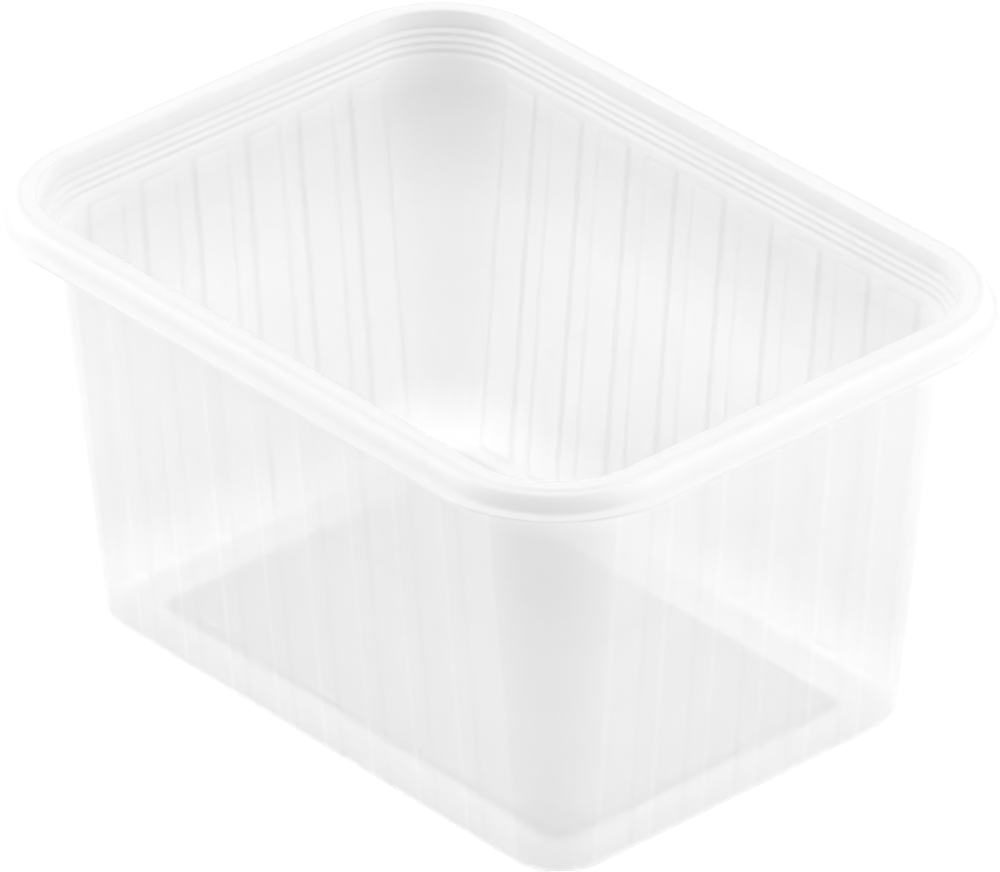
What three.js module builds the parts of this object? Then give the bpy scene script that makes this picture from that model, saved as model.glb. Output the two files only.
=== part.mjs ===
import * as THREE from 'three';

// Rectangular takeaway container: an open tub moulded in one thin piece of plastic.
// Millimetres. +Z is up, +X runs along the long side, and the origin is under the middle of the foot.
// The tub is one closed shell. It is built as a stack of level rings, each a rounded rectangle,
// that run from the middle of the floor up the inside, over the rim and down the outside.

// Overall size
const HEIGHT = 102.8;
const MOUTH = { length: 173.1, width: 126.6, radius: 20.6 };
const WALL_TOP = { length: 168.3, width: 121.9, radius: 20.4, drop: 11.0 };
const FOOT = { length: 153.2, width: 106.1, radius: 14.1, edge: 3.25 };
const THICKNESS = 0.7;

// How a ring's corner radius grows for each millimetre outward and inward of the mouth
const RADIUS_GROWTH_OUT = 1.22;
const RADIUS_GROWTH_IN = 0.29;

// Shallow upright panels, pressed inward on all four walls
const PANEL = { width: 9.4, depth: 0.4, slope: 1.2, topDrop: 11.2, slopeDrop: 11.9 };
const LONG_WALL = { panels: 9, pitch: 14.9 };
const SHORT_WALL = { panels: 6, pitch: 14.7 };
const PLAIN_MARGIN = 1.0;

// Middle of the floor, lifted off the table inside a flat foot
const FLOOR_PANEL = { inset: 12.6, slope: 1.2, lift: 1.1, radius: 4 };

// Facets in a quarter turn
const CORNER_STEPS = 10;
const EDGE_STEPS = 3;

// The panels start this share of the way up the rounded bottom edge
const PANEL_FOOT_SHARE = 0.5;

// Rim section as [outward from the mouth, down from the top, lift at the corners]. The inside climbs
// four small steps to an upright band, then the rim has a flat bead, a groove, a shoulder, a skirt
// and a lip. The lip's lower edge is lifted a little at the four corners.
const INSIDE_STEPS = [
  [-3.1, 10.6], [-2.9, 9.7], [-2.25, 9.0], [-2.2, 8.0], [-1.65, 7.4], [-1.6, 6.5],
  [-1.0, 5.9], [-0.9, 4.9], [-0.2, 4.4], [-0.12, 3.4], [0, 0.6],
];
const RIM_TOP = [
  [0.25, 0.15], [0.8, 0], [3.3, 0], [3.85, 0.2], [4.1, 0.42], [4.5, 0.5],
  [5.2, 0.9], [5.7, 1.5], [6.1, 2.3], [6.9, 4.1], [7.5, 4.5], [8.25, 4.95],
  [8.45, 5.3, 0.15], [8.45, 6.1, 0.7],
];
const RIM_UNDERSIDE = [
  [7.8, 6.1, 0.7], [7.65, 5.6, 0.3], [7.1, 5.25], [6.3, 4.75], [6.1, 4.3], [5.35, 2.5],
  [4.9, 1.9], [4.2, 1.35], [3.4, 0.95], [1.1, 0.8], [0.75, 1.2], [0.6, 3.9],
];

function mix(a, b, t) {
  return a + (b - a) * t;
}

// A ring of the rim section.
function rimRing([outward, drop, cornerLift = 0]) {
  const growth = outward > 0 ? RADIUS_GROWTH_OUT : RADIUS_GROWTH_IN;
  return {
    length: MOUTH.length + 2 * outward,
    width: MOUTH.width + 2 * outward,
    radius: MOUTH.radius + growth * outward,
    z: HEIGHT - drop,
    cornerLift,
  };
}

// A ring of the sloping wall, moved in from its outside face by inset. Relief is the share of
// the panel depth there, and a ring that states it also has the points of the panels' edges.
function wallRing(z, inset, relief) {
  const t = (z - FOOT.edge) / (HEIGHT - WALL_TOP.drop - FOOT.edge);
  return {
    length: mix(FOOT.length, WALL_TOP.length, t) - 2 * inset,
    width: mix(FOOT.width, WALL_TOP.width, t) - 2 * inset,
    radius: mix(FOOT.radius, WALL_TOP.radius, t) - inset,
    z,
    relief,
  };
}

// A ring of the rounded edge between wall and foot. The angle is 0 at the table and 90 at the wall,
// and skin is 0 on the outside and the thickness on the inside.
function edgeRing(angle, skin, relief) {
  const turn = THREE.MathUtils.degToRad(angle);
  const bend = FOOT.edge - skin;
  const inset = skin + bend * (1 - Math.sin(turn));
  return {
    length: FOOT.length - 2 * inset,
    width: FOOT.width - 2 * inset,
    radius: FOOT.radius - inset,
    z: skin + bend * (1 - Math.cos(turn)),
    relief,
  };
}

// A ring of the step round the lifted middle of the floor.
function floorRing(inset, z) {
  return {
    length: FOOT.length - 2 * inset,
    width: FOOT.width - 2 * inset,
    radius: FLOOR_PANEL.radius,
    z,
  };
}

// Where the panels' edges lie along a wall, each with its share of the panel depth.
function panelEdges(wall) {
  const edges = [];
  const first = -wall.pitch * (wall.panels - 1) / 2;
  const outer = (PANEL.width + PANEL.slope) / 2;
  const inner = (PANEL.width - PANEL.slope) / 2;
  for (let i = 0; i < wall.panels; i += 1) {
    const middle = first + wall.pitch * i;
    edges.push([middle - outer, 0], [middle - inner, 1], [middle + inner, 1], [middle + outer, 0]);
  }
  const end = outer - first + PLAIN_MARGIN;
  return [[-end, 0], ...edges, [end, 0]];
}

// How far round the corner, in radians, a place along a wall lies.
function angleAt(along, halfRun, radius) {
  const past = Math.abs(along) - (halfRun - radius);
  return past > 0 ? Math.asin(past / radius) : 0;
}

// The points of a ring, anticlockwise from above: four times a wall and the corner after it.
function ringPoints(ring) {
  const points = [];
  const fluted = ring.relief !== undefined;
  for (let side = 0; side < 4; side += 1) {
    const long = side % 2 === 1;
    const halfRun = (long ? ring.length : ring.width) / 2;
    const halfDepth = (long ? ring.width : ring.length) / 2;
    const flat = halfRun - ring.radius;
    const turn = side * Math.PI / 2;
    const place = (outward, along, lift = 0) => points.push([
      Math.cos(turn) * outward - Math.sin(turn) * along,
      Math.sin(turn) * outward + Math.cos(turn) * along,
      ring.z + lift,
    ]);

    const edges = fluted ? panelEdges(long ? LONG_WALL : SHORT_WALL) : [[-flat, 0], [flat, 0]];
    for (const [along, share] of edges) {
      const angle = angleAt(along, halfRun, ring.radius);
      const inward = share * PANEL.depth * (ring.relief ?? 0);
      const bulge = ring.radius * (1 - Math.cos(angle));
      place(halfDepth - bulge - inward * Math.cos(angle), along - inward * Math.sin(angle) * Math.sign(along));
    }

    const next = fluted ? panelEdges(long ? SHORT_WALL : LONG_WALL) : [[halfDepth - ring.radius, 0]];
    const from = angleAt(edges.at(-1)[0], halfRun, ring.radius);
    const to = Math.PI / 2 - angleAt(next.at(-1)[0], halfDepth, ring.radius);
    for (let step = 1; step < CORNER_STEPS; step += 1) {
      const angle = mix(from, to, step / CORNER_STEPS);
      place(
        halfDepth - ring.radius + ring.radius * Math.cos(angle),
        flat + ring.radius * Math.sin(angle),
        (ring.cornerLift ?? 0) * Math.sin(2 * angle),
      );
    }
  }
  return points;
}

// Triangles between two rings with the same points in the same order.
function joinAlike(lower, upper, triangles) {
  const count = lower.length;
  for (let i = 0; i < count; i += 1) {
    const j = (i + 1) % count;
    triangles.push(lower[i], lower[j], upper[j], lower[i], upper[j], upper[i]);
  }
}

// Triangles between two rings with different points: both are walked by angle round the middle.
function joinUnlike(lower, upper, vertices, triangles) {
  const walk = (ring) => ring
    .map((index) => ({ index, angle: Math.atan2(vertices[index][1], vertices[index][0]) }))
    .sort((a, b) => a.angle - b.angle);
  const a = walk(lower);
  const b = walk(upper);
  const at = (list, i) => list[i % list.length];
  const angle = (list, i) => at(list, i).angle + (i >= list.length ? 2 * Math.PI : 0);
  let i = 0;
  let j = 0;
  while (i < a.length || j < b.length) {
    const stepLower = j >= b.length || (i < a.length && angle(a, i + 1) < angle(b, j + 1));
    if (stepLower) {
      triangles.push(at(a, i).index, at(a, i + 1).index, at(b, j).index);
      i += 1;
    } else {
      triangles.push(at(a, i).index, at(b, j + 1).index, at(b, j).index);
      j += 1;
    }
  }
}

// The whole shell from its rings, closed at both ends by a point in the middle of the floor.
function shellGeometry(rings) {
  const vertices = [];
  const triangles = [];
  const loops = rings.map((ring) => ringPoints(ring).map((point) => vertices.push(point) - 1));

  for (let i = 0; i + 1 < loops.length; i += 1) {
    if (loops[i].length === loops[i + 1].length) {
      joinAlike(loops[i + 1], loops[i], triangles);
    } else {
      joinUnlike(loops[i + 1], loops[i], vertices, triangles);
    }
  }

  const floor = loops[0];
  const floorMiddle = vertices.push([0, 0, rings[0].z]) - 1;
  floor.forEach((index, i) => triangles.push(floorMiddle, index, floor[(i + 1) % floor.length]));
  const base = loops.at(-1);
  const baseMiddle = vertices.push([0, 0, rings.at(-1).z]) - 1;
  base.forEach((index, i) => triangles.push(baseMiddle, base[(i + 1) % base.length], index));

  const geometry = new THREE.BufferGeometry();
  geometry.setAttribute('position', new THREE.Float32BufferAttribute(vertices.flat(), 3));
  geometry.setIndex(triangles);
  geometry.computeVertexNormals();
  return geometry;
}

// The rings of one face of the shell below the rim, from the middle of the floor to the wall's top.
function bodyRings(skin) {
  const rings = [
    floorRing(FLOOR_PANEL.inset + FLOOR_PANEL.slope, skin + FLOOR_PANEL.lift),
    floorRing(FLOOR_PANEL.inset, skin),
  ];
  for (let step = 0; step <= EDGE_STEPS; step += 1) {
    const share = step / EDGE_STEPS;
    const relief = share > PANEL_FOOT_SHARE ? share : undefined;
    rings.push(edgeRing(90 * share, skin, relief));
  }
  rings.push(wallRing(HEIGHT - PANEL.slopeDrop, skin, 1));
  rings.push(wallRing(HEIGHT - PANEL.topDrop, skin, 0));
  return rings;
}

const inside = [...bodyRings(THICKNESS), ...INSIDE_STEPS.map(rimRing)];
const outside = [...bodyRings(0), wallRing(HEIGHT - WALL_TOP.drop, 0)];
const rim = [...RIM_TOP, ...RIM_UNDERSIDE].map(rimRing);

const plastic = new THREE.MeshStandardMaterial({
  color: 0xeef0f0,
  roughness: 0.32,
  metalness: 0,
  transparent: true,
  opacity: 0.6,
});
const tub = new THREE.Mesh(shellGeometry([...inside, ...rim, ...outside.reverse()]), plastic);
tub.name = 'tub';

const container = new THREE.Group();
container.add(tub);

export default container;
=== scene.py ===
"""Looks of an empty rectangular takeaway container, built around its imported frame.

Lengths are in millimetres unless a name says otherwise, and are turned to metres where Blender needs them.
"""
import math

import bpy
import numpy as np
from mathutils import Matrix, Vector


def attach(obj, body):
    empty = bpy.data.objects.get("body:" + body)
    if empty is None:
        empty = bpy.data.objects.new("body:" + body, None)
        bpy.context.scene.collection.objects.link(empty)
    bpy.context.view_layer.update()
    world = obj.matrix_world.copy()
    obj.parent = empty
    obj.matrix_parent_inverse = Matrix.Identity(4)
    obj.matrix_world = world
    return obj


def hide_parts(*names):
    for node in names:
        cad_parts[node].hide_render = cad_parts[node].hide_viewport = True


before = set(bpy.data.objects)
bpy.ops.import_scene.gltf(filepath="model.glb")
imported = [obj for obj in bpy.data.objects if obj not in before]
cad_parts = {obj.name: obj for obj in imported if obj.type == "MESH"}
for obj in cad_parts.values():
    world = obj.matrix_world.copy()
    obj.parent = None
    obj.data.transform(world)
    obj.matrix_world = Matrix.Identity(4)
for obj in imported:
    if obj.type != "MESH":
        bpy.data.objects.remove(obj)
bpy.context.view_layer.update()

MM = 0.001
IMAGE_WIDTH = 1000

# The tub's driving sizes, the same as in the solid
HEIGHT = 102.8
MOUTH = {"length": 173.1, "width": 126.6, "radius": 20.6}
WALL_TOP = {"length": 168.3, "width": 121.9, "radius": 20.4, "drop": 11.0}
FOOT = {"length": 153.2, "width": 106.1, "radius": 14.1, "edge": 3.25}
THICKNESS = 0.7
RADIUS_GROWTH_OUT = 1.22
RADIUS_GROWTH_IN = 0.29

# Shallow upright panels, pressed inward on all four walls, shallower and softer here than in the solid
PANEL = {"width": 9.4, "depth": 0.22, "slope": 2.0, "top_drop": 11.2, "slope_drop": 11.9}
LONG_WALL = {"panels": 9, "pitch": 14.9}
SHORT_WALL = {"panels": 6, "pitch": 14.7}
PLAIN_MARGIN = 1.0
FLOOR_PANEL = {"inset": 12.0, "slope": 2.4, "lift": 1.1, "radius": 4.0, "steps": 6}

# Rim section: outward from the mouth, down from the top, lift at the corners, and how much painted shade
# darkens and clouds the plastic there: in the groove, on the skirt and under the lip
INSIDE_STEPS = [
    (-3.1, 10.6), (-2.9, 9.7), (-2.25, 9.0), (-2.2, 8.0), (-1.65, 7.4), (-1.6, 6.5),
    (-1.0, 5.9), (-0.9, 4.9), (-0.2, 4.4), (-0.12, 3.4), (0, 0.6),
]
RIM_TOP = [
    (0.25, 0.15), (0.8, 0), (3.3, 0), (3.85, 0.25, 0, 0.6), (4.15, 0.42, 0, 0.8), (4.6, 0.45),
    (5.3, 0.8), (5.7, 1.5), (6.1, 2.3, 0, 0.8), (6.9, 4.1, 0, 0.8), (7.5, 4.5), (8.25, 4.95),
    (8.45, 5.3, 0.15, 0.8), (8.45, 6.1, 0.7, 3),
]
RIM_UNDERSIDE = [
    (7.8, 6.1, 0.7, 3), (7.65, 5.6, 0.3), (7.1, 5.25), (6.3, 4.75), (6.1, 4.3), (5.35, 2.5),
    (4.9, 1.9), (4.2, 1.35), (3.4, 0.95), (1.1, 0.8), (0.75, 1.2), (0.6, 3.9),
]

# Fineness of the mesh
CORNER_STEPS = 40
EDGE_STEPS = 9
SLOPE_SAMPLES = (-0.75, -0.5, -0.25, 0.0, 0.25, 0.5, 0.75)
FILLET = 0.3
FILLET_SHARE = 0.45
FILLET_STEPS = 3

# The straight part of a wall, with its panels, may take up this share of the corner's radius
CORNER_SHARE = 0.57

# How much painted shade darkens and clouds the plastic in places: along the panels' sides and in the lower
# wall, both seen from inside, at the foot seen from outside, in the middle of the floor as a painted shadow
# of the gap under it and along its step, and on the inner steps
PANEL_EDGE_PAINTED_SHADE = 0.75
INSIDE_WALL_PAINTED_SHADE = 1.25
OUTSIDE_FOOT_PAINTED_SHADE = 0.9
FLOOR_PAINTED_SHADOW = 1.5
FLOOR_EDGE_PAINTED_SHADE = 1.4
STEP_PAINTED_SHADE = 0.4
UPRIGHT_PAINTED_SHADE = 1.4

# The painted shade of the lower wall inside is strongest, and that of the foot outside has faded, at this
# level
PAINTED_SHADE_LEVEL = 18.0

# The inner steps end below this drop, and their small uprights lean and rise less than this
STEPS_TOP_DROP = 2.0
UPRIGHT_LEAN = 0.15
UPRIGHT_HEIGHT = 1.5

# A ring of the shell is one row of numbers. The last two are its painted shade and the extra painted shade
# along the sides of its panels
LENGTH, WIDTH, RADIUS, LEVEL, RELIEF, LIFT, SHADE_PAINTED, EDGE_SHADE_PAINTED = range(8)


def mix(a, b, share):
    return a + (b - a) * share


def smooth(share):
    """A soft step from 0 to 1."""
    return share * share * (3 - 2 * share)


def halfway(share):
    """How near a share is to the middle of its way: 0 at both ends and 1 half-way."""
    return 4 * share * (1 - share)


def ring_row(outline, level, relief=0.0, lift=0.0, painted_shade=0.0, edge_shade=0.0):
    """A ring in the order of the names above. Its outline is its length, width and corner radius."""
    return [*outline, level, relief, lift, painted_shade, edge_shade]


def inset_outline(shape, inset):
    """The outline of a named shape, moved in by inset."""
    return shape["length"] - 2 * inset, shape["width"] - 2 * inset, shape["radius"] - inset


def rim_ring(outward, drop, lift=0.0, painted_shade=0.0):
    """A ring of the rim section."""
    growth = RADIUS_GROWTH_OUT if outward > 0 else RADIUS_GROWTH_IN
    radius = MOUTH["radius"] + growth * outward
    outline = (MOUTH["length"] + 2 * outward, MOUTH["width"] + 2 * outward, radius)
    return ring_row(outline, HEIGHT - drop, lift=lift, painted_shade=painted_shade)


def inside_rings():
    """The rings of the inner steps with light painted shade, and one more half-way up each small upright with
    darker painted shade.
    """
    rings = [rim_ring(*INSIDE_STEPS[0])]
    for (low_out, low_drop), (high_out, high_drop) in zip(INSIDE_STEPS[:-1], INSIDE_STEPS[1:]):
        if high_out - low_out < UPRIGHT_LEAN and low_drop - high_drop < UPRIGHT_HEIGHT:
            rings.append(rim_ring((low_out + high_out) / 2, (low_drop + high_drop) / 2, painted_shade=UPRIGHT_PAINTED_SHADE))
        painted_shade = STEP_PAINTED_SHADE if high_drop > STEPS_TOP_DROP else 0.0
        rings.append(rim_ring(high_out, high_drop, painted_shade=painted_shade))
    return rings


def wall_ring(level, skin, relief=0.0, painted_shade=0.0):
    """A ring of the sloping wall. The skin is 0 on the outside and the wall's thickness on the inside.

    Only the inside gets painted shade along the panels' sides.
    """
    share = (level - FOOT["edge"]) / (HEIGHT - WALL_TOP["drop"] - FOOT["edge"])
    shape = {name: mix(FOOT[name], WALL_TOP[name], share) for name in ("length", "width", "radius")}
    edge_shade = PANEL_EDGE_PAINTED_SHADE if skin else 0.0
    return ring_row(inset_outline(shape, skin), level, relief, painted_shade=painted_shade, edge_shade=edge_shade)


def edge_ring(angle, skin, relief):
    """A ring of the rounded bottom edge: angle 0 is at the table and 90 at the wall."""
    turn = math.radians(angle)
    bend = FOOT["edge"] - skin
    inset = skin + bend * (1 - math.sin(turn))
    level = skin + bend * (1 - math.cos(turn))
    # Painted shade along the panels' sides inside, and over the foot outside
    painted_shade, edge_shade = (0.0, PANEL_EDGE_PAINTED_SHADE) if skin else (OUTSIDE_FOOT_PAINTED_SHADE, 0.0)
    return ring_row(inset_outline(FOOT, inset), level, relief, painted_shade=painted_shade, edge_shade=edge_shade)


def floor_ring(share, skin):
    """A ring of the step round the lifted middle of the floor: share 0 is at its foot and 1 at its top."""
    length, width, _ = inset_outline(FOOT, FLOOR_PANEL["inset"] + FLOOR_PANEL["slope"] * share)
    lift = smooth(share)
    # A painted shadow over the lifted middle of the floor, and painted shade along its step
    painted_shade = FLOOR_PAINTED_SHADOW * lift + FLOOR_EDGE_PAINTED_SHADE * halfway(lift)
    outline = (length, width, FLOOR_PANEL["radius"])
    return ring_row(outline, skin + FLOOR_PANEL["lift"] * lift, painted_shade=painted_shade)


def body_rings(skin):
    """The rings of one face of the shell below the rim, from the middle of the floor to the wall's top.

    The panels start half-way up the rounded bottom edge.
    """
    rings = []
    for step in range(FLOOR_PANEL["steps"] + 1):
        rings.append(floor_ring(1 - step / FLOOR_PANEL["steps"], skin))
    for step in range(EDGE_STEPS + 1):
        share = step / EDGE_STEPS
        rings.append(edge_ring(90 * share, skin, max(0.0, 2 * share - 1)))
    # Painted shade on the lower wall inside, fading out higher up
    rings.append(wall_ring(PAINTED_SHADE_LEVEL, skin, 1.0, INSIDE_WALL_PAINTED_SHADE if skin else 0.0))
    rings.append(wall_ring(HEIGHT - PANEL["slope_drop"], skin, 1.0))
    rings.append(wall_ring(HEIGHT - PANEL["top_drop"], skin, 0.0))
    return rings


def softened(rings):
    """The rings with each bend of the section rounded by a short curve."""
    rows = np.array(rings)
    result = [rows[0]]
    for before, here, after in zip(rows[:-2], rows[1:-1], rows[2:]):
        starts = []
        for other in (before, after):
            reach = math.hypot((other[LENGTH] - here[LENGTH]) / 2, other[LEVEL] - here[LEVEL])
            starts.append(mix(here, other, min(FILLET / reach, FILLET_SHARE)))
        for step in range(FILLET_STEPS):
            t = step / (FILLET_STEPS - 1)
            result.append(mix(mix(starts[0], here, t), mix(here, starts[1], t), t))
    return [*result, rows[-1]]


def wall_places(wall):
    """Where the mesh has points along a wall, and how deep the panels are pressed in there."""
    first = -wall["pitch"] * (wall["panels"] - 1) / 2
    half = PANEL["width"] / 2
    places = []
    for index in range(wall["panels"]):
        middle = first + wall["pitch"] * index
        for side in (-1, 1):
            for sample in SLOPE_SAMPLES:
                share = min(max(0.5 - sample, 0), 1)
                places.append((middle + side * (half + sample * PANEL["slope"]), smooth(share)))
        places.append((middle, 1.0))
    end = half + PANEL["slope"] - first + PLAIN_MARGIN
    places += [(-end, 0.0), (end, 0.0)]
    return sorted(places)


def angle_at(along, half_run, radius):
    """How far round the corner, in radians, a place along a wall lies."""
    past = abs(along) - (half_run - radius)
    return math.asin(min(past / radius, 1)) if past > 0 else 0.0


def ring_points(ring, long_places, short_places):
    """The points of a ring, anticlockwise from above: four times a wall and the corner after it.

    With each point goes how much painted shade it gets. The painted shade along a panel's side is
    strongest half-way down its slope.
    """
    points = []
    painted_shades = []
    radius = ring[RADIUS]
    relief = ring[RELIEF]
    for side in range(4):
        along_x = side % 2 == 1
        here, following = (long_places, short_places) if along_x else (short_places, long_places)
        half_run = ring[LENGTH if along_x else WIDTH] / 2
        half_depth = ring[WIDTH if along_x else LENGTH] / 2
        corner = radius * (1 - CORNER_SHARE)
        squeeze = min(1, (half_run - corner) / here[-1][0])
        next_squeeze = min(1, (half_depth - corner) / following[-1][0])
        cos, sin = ((1, 0), (0, 1), (-1, 0), (0, -1))[side]

        def place(outward, along, lift=0.0, edge=0.0):
            points.append((cos * outward - sin * along, sin * outward + cos * along, ring[LEVEL] + lift))
            painted_shades.append(ring[SHADE_PAINTED] + edge * ring[EDGE_SHADE_PAINTED])

        for along, share in here:
            along *= squeeze
            angle = angle_at(along, half_run, radius)
            inward = share * PANEL["depth"] * relief
            bulge = radius * (1 - math.cos(angle))
            place(
                half_depth - bulge - inward * math.cos(angle),
                along - inward * math.sin(angle) * np.sign(along),
                edge=max(halfway(share) * relief, halfway(relief) * share),
            )

        start = angle_at(here[-1][0] * squeeze, half_run, radius)
        end = math.pi / 2 - angle_at(following[-1][0] * next_squeeze, half_depth, radius)
        for step in range(1, CORNER_STEPS):
            angle = mix(start, end, step / CORNER_STEPS)
            place(
                half_depth - radius + radius * math.cos(angle),
                half_run - radius + radius * math.sin(angle),
                ring[LIFT] * math.sin(2 * angle),
            )
    return points, painted_shades


def shell_mesh(name, rings):
    """A closed mesh through the rings, ended at both ends by one flat face."""
    long_places = wall_places(LONG_WALL)
    short_places = wall_places(SHORT_WALL)
    loops, painted_shades = zip(*[ring_points(ring, long_places, short_places) for ring in rings])
    count = len(loops[0])
    faces = []
    for lower in range(len(loops) - 1):
        a = lower * count
        b = a + count
        faces += [(b + i, b + (i + 1) % count, a + (i + 1) % count, a + i) for i in range(count)]
    faces.append(tuple(range(count)))
    base = (len(loops) - 1) * count
    faces.append(tuple(range(base + count - 1, base - 1, -1)))
    mesh = bpy.data.meshes.new(name)
    mesh.from_pydata(np.array(loops).reshape(-1, 3) * MM, [], faces)
    mesh.validate()
    mesh.update()
    mesh.shade_smooth()
    # Each point's painted shade is kept as a mesh attribute that the plastic reads
    mesh.attributes.new("painted_shade", "FLOAT", "POINT").data.foreach_set("value", np.array(painted_shades).ravel())
    return mesh


def make_tub():
    """The whole tub as one fine smooth shell."""
    inside = [*body_rings(THICKNESS), *inside_rings()]
    outside = [*body_rings(0.0), wall_ring(HEIGHT - WALL_TOP["drop"], 0.0)]
    rim = [rim_ring(*row) for row in RIM_TOP + RIM_UNDERSIDE]
    rings = softened([*inside, *rim, *reversed(outside)])
    tub = bpy.data.objects.new("tub_shell", shell_mesh("tub_shell", rings))
    bpy.context.scene.collection.objects.link(tub)
    return tub


# Milky natural plastic, for each wall that light crosses. It looks clearest at the foot, denser at the top of
# the walls and densest in the rim. The tint and whiteness falling up the walls are painted shade, darker
# where less light from the floor reaches. At each of these levels four numbers give what is scattered, how
# much of that goes on inward, the tint of what goes straight through, and how white the scattered light is.
PLASTIC_BY_LEVEL = (
    (0.0, 0.38, 0.26, 0.98, 0.93),
    (60.0, 0.52, 0.15, 0.95, 0.91),
    (86.0, 0.78, 0.07, 0.85, 0.89),
    (96.0, 0.93, 0.05, 0.88, 0.98),
)
TOP_LEVEL = PLASTIC_BY_LEVEL[-1][0]

# What a painted shade of 1 adds to what is scattered and the share that it leaves of the brightness, how much
# the clouds vary what is scattered, and the gloss straight on and at grazing angles
PLASTIC = {
    "painted_shade_milk": 0.08,
    "painted_shade_darkening": 0.93,
    "cloud_milk": 0.03,
    "gloss_straight": 0.04,
    "gloss_grazing": 0.5,
    "gloss_roughness": (0.32, 0.42),
}
CLOUDS_PER_METRE = 60.0
CLOUD_RANGE = (0.3, 0.7)
CLOUD_MIDDLE = 0.5


def grey(level):
    return (level, level, level, 1)


class Tree:
    """Short names for the shader nodes of a material or of the world."""

    def __init__(self, owner):
        owner.use_nodes = True
        self.nodes = owner.node_tree.nodes
        self.links = owner.node_tree.links
        self.nodes.clear()

    def put(self, socket, value):
        """A link where the value is another node's output, and otherwise the socket's own value."""
        if isinstance(value, bpy.types.NodeSocket):
            self.links.new(value, socket)
        else:
            socket.default_value = value

    def node(self, kind, *values, **settings):
        node = self.nodes.new("ShaderNode" + kind)
        for name, setting in settings.items():
            setattr(node, name, setting)
        for socket, value in zip(node.inputs, values):
            self.put(socket, value)
        return node

    def math(self, operation, *values):
        return self.node("Math", *values, operation=operation).outputs[0]

    def mixed(self, share, first, second):
        return self.node("MixShader", share, first, second).outputs[0]

    def ranged(self, value, low, high, start, end):
        return self.node("MapRange", value, low, high, start, end, interpolation_type="LINEAR").outputs[0]


def polypropylene():
    """Part of the light goes straight through, part is scattered to both sides, and a little is mirrored.

    Each wall has two faces. The one that light meets first does all of this, and the one behind it is clear.
    """
    material = bpy.data.materials.new("polypropylene")
    tree = Tree(material)
    place = tree.node("TexCoord").outputs["Object"]
    level = tree.node("SeparateXYZ", place).outputs["Z"]
    painted_shade = tree.node("Attribute", attribute_name="painted_shade").outputs["Fac"]
    facing = tree.node("LayerWeight").outputs["Facing"]

    # Soft clouds where the melt flowed, which also vary the gloss
    clouds = tree.node("TexNoise", place, noise_dimensions="3D")
    clouds.inputs["Scale"].default_value = CLOUDS_PER_METRE
    clouds.inputs["Detail"].default_value = 0.0
    cloud = clouds.outputs["Fac"]

    # One ramp up the tub carries the four numbers as its red, green, blue and alpha
    ramp = tree.node("ValToRGB", tree.math("DIVIDE", level, TOP_LEVEL * MM))
    stops = ramp.color_ramp.elements
    for row in PLASTIC_BY_LEVEL[1:-1]:
        stops.new(row[0] / TOP_LEVEL)
    for stop, row in zip(stops, PLASTIC_BY_LEVEL):
        stop.color = row[1:]
    milk_here, onward_here, tint_here = tree.node("SeparateColor", ramp.outputs["Color"]).outputs
    white_here = ramp.outputs["Alpha"]

    # Painted shade from the mesh attribute clouds the plastic and darkens what is scattered and what goes
    # through
    milk = tree.math("MULTIPLY_ADD", painted_shade, PLASTIC["painted_shade_milk"], milk_here)
    milk = tree.math("MULTIPLY_ADD", tree.math("SUBTRACT", cloud, CLOUD_MIDDLE), PLASTIC["cloud_milk"], milk)
    shade = tree.math("MULTIPLY_ADD", painted_shade, PLASTIC["painted_shade_darkening"] - 1, 1.0)
    white = tree.math("MULTIPLY", shade, white_here)
    tint = tree.math("MULTIPLY", shade, tint_here)

    back = tree.node("BsdfDiffuse", white).outputs[0]
    onward = tree.node("BsdfTranslucent", white).outputs[0]
    clear = tree.node("BsdfTransparent", tint).outputs[0]
    scattered = tree.mixed(onward_here, back, onward)
    body = tree.mixed(milk, clear, scattered)

    # Reflection grows from straight on to grazing by the usual fifth power
    straight = PLASTIC["gloss_straight"]
    grazing = PLASTIC["gloss_grazing"]
    mirrored = tree.math("MULTIPLY_ADD", tree.math("POWER", facing, 5.0), grazing - straight, straight)
    roughness = tree.ranged(cloud, *CLOUD_RANGE, *PLASTIC["gloss_roughness"])
    gloss = tree.node("BsdfAnisotropic", grey(1.0), roughness).outputs[0]
    first = tree.mixed(mirrored, body, gloss)
    behind = tree.node("BsdfTransparent", grey(1.0)).outputs[0]
    surface = tree.mixed(tree.node("NewGeometry").outputs["Backfacing"], first, behind)
    tree.node("OutputMaterial", surface)
    return material


# Camera of the photograph: where it looks from, its tilt, and its long lens
CAMERA = {"azimuth": 48.421, "elevation": 30.896, "roll": -0.355, "distance": 2727.7, "focal_px": 12951.7}
CAMERA_TARGET = (0.366, 6.549, 47.03)
SENSOR_MM = 36.0
CLIP_M = (0.1, 100.0)


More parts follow.
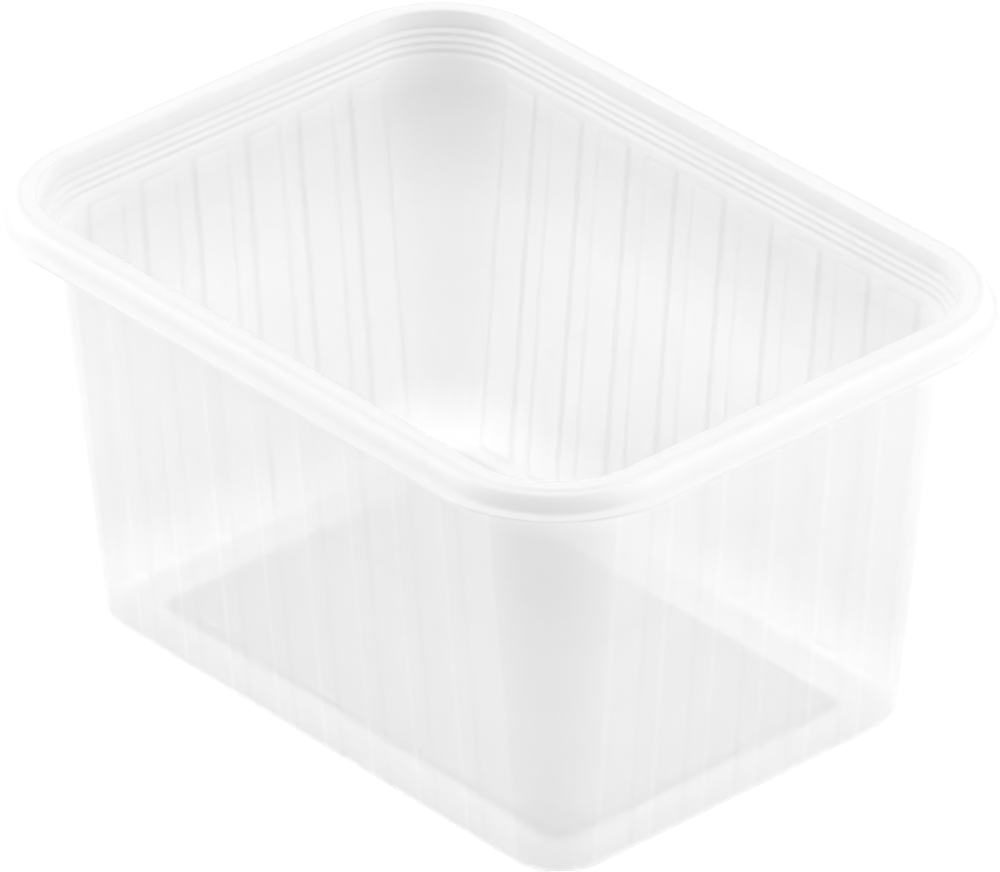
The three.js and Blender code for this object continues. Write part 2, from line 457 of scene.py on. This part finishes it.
def make_camera():
    azimuth = math.radians(CAMERA["azimuth"])
    elevation = math.radians(CAMERA["elevation"])
    roll = math.radians(CAMERA["roll"])
    back = Vector((
        math.sin(azimuth) * math.cos(elevation),
        -math.cos(azimuth) * math.cos(elevation),
        math.sin(elevation),
    ))
    level = Vector((math.cos(azimuth), math.sin(azimuth), 0))
    rise = back.cross(level)
    right = math.cos(roll) * level + math.sin(roll) * rise
    up = -math.sin(roll) * level + math.cos(roll) * rise
    shift_right, shift_up, height = CAMERA_TARGET
    place = Vector((0, 0, height)) + right * shift_right + up * shift_up + back * CAMERA["distance"]

    data = bpy.data.cameras.new("camera")
    data.sensor_width = SENSOR_MM
    data.lens = SENSOR_MM * CAMERA["focal_px"] / IMAGE_WIDTH
    data.clip_start, data.clip_end = CLIP_M
    camera = bpy.data.objects.new("camera", data)
    turn = Matrix((right, up, back)).transposed().to_4x4()
    camera.matrix_world = Matrix.Translation(place * MM) @ turn
    bpy.context.scene.collection.objects.link(camera)
    bpy.context.scene.camera = camera


# The white floor, with a little light of its own that keeps it as pale as in the photograph
FLOOR_WHITE = 0.9
FLOOR_GLOW = 0.295
FLOOR_HALF_M = 6.0
FLOOR_GAP_M = 0.0002


def make_floor():
    half = FLOOR_HALF_M
    corners = [(-half, -half, 0), (half, -half, 0), (half, half, 0), (-half, half, 0)]
    mesh = bpy.data.meshes.new("floor")
    mesh.from_pydata(corners, [], [(0, 1, 2, 3)])
    floor = bpy.data.objects.new("floor", mesh)
    floor.location.z = -FLOOR_GAP_M
    bpy.context.scene.collection.objects.link(floor)
    material = bpy.data.materials.new("floor")
    tree = Tree(material)
    matt = tree.node("BsdfDiffuse", grey(FLOOR_WHITE)).outputs[0]
    glow = tree.node("Emission", grey(1.0), FLOOR_GLOW).outputs[0]
    tree.node("OutputMaterial", tree.node("AddShader", matt, glow).outputs[0])
    mesh.materials.append(material)


# Soft lights: azimuth and elevation in degrees, and power in watts
LIGHTS = (
    ("left_high_light", 318, 48, 11.7),
    ("right_high_light", 138, 48, 10.2),
    ("back_high_light", 228, 48, 5.2),
    ("top_light", 48, 89, 4.4),
    ("left_low_light", 318, 15, 11.2),
    ("right_low_light", 118, 15, 13.2),
    ("front_low_light", 48, 15, 2.6),
)
LIGHT_DISTANCE_M = 1.6
LIGHT_SIZE_M = 1.6


def make_light(name, azimuth, elevation, power):
    """A soft square light that looks at the tub from a direction."""
    a = math.radians(azimuth)
    e = math.radians(elevation)
    back = Vector((math.sin(a) * math.cos(e), -math.cos(a) * math.cos(e), math.sin(e)))
    data = bpy.data.lights.new(name, "AREA")
    data.shape = "SQUARE"
    data.size = LIGHT_SIZE_M
    data.energy = power
    light = bpy.data.objects.new(name, data)
    light.location = back * LIGHT_DISTANCE_M + Vector((0, 0, HEIGHT * MM / 2))
    light.rotation_mode = "QUATERNION"
    light.rotation_quaternion = (-back).to_track_quat("-Z", "Y")
    light.visible_camera = False
    bpy.context.scene.collection.objects.link(light)


# The white sweep behind the tub: how bright it is, the little light elsewhere, and between which shares it
# grows towards the direction behind the tub and fades upwards
WORLD = {"sweep": 0.8, "elsewhere": 0.01, "grows": (0.1, 0.6), "fades": (0.05, 0.4)}


def make_world():
    """Light from the sweep, which is brightest behind the tub and low."""
    world = bpy.data.worlds.new("world")
    tree = Tree(world)
    direction = tree.node("TexCoord").outputs["Generated"]
    azimuth = math.radians(CAMERA["azimuth"])
    behind = (-math.sin(azimuth), math.cos(azimuth), 0)
    toward = tree.node("VectorMath", direction, behind, operation="DOT_PRODUCT").outputs["Value"]
    height = tree.node("SeparateXYZ", direction).outputs["Z"]
    sideways = tree.ranged(toward, *WORLD["grows"], 0.0, 1.0)
    upwards = tree.ranged(height, *WORLD["fades"], 1.0, 0.0)
    shape = tree.math("MULTIPLY", sideways, upwards)
    strength = tree.math("MULTIPLY_ADD", shape, WORLD["sweep"], WORLD["elsewhere"])
    background = tree.node("Background", grey(1.0), strength).outputs[0]
    tree.node("OutputWorld", background)
    bpy.context.scene.world = world


make_camera()
make_floor()
make_world()
for light_row in LIGHTS:
    make_light(*light_row)

tub = make_tub()
tub.data.materials.append(polypropylene())
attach(tub, "root")
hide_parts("tub")

bpy.context.scene.view_settings.view_transform = "Standard"
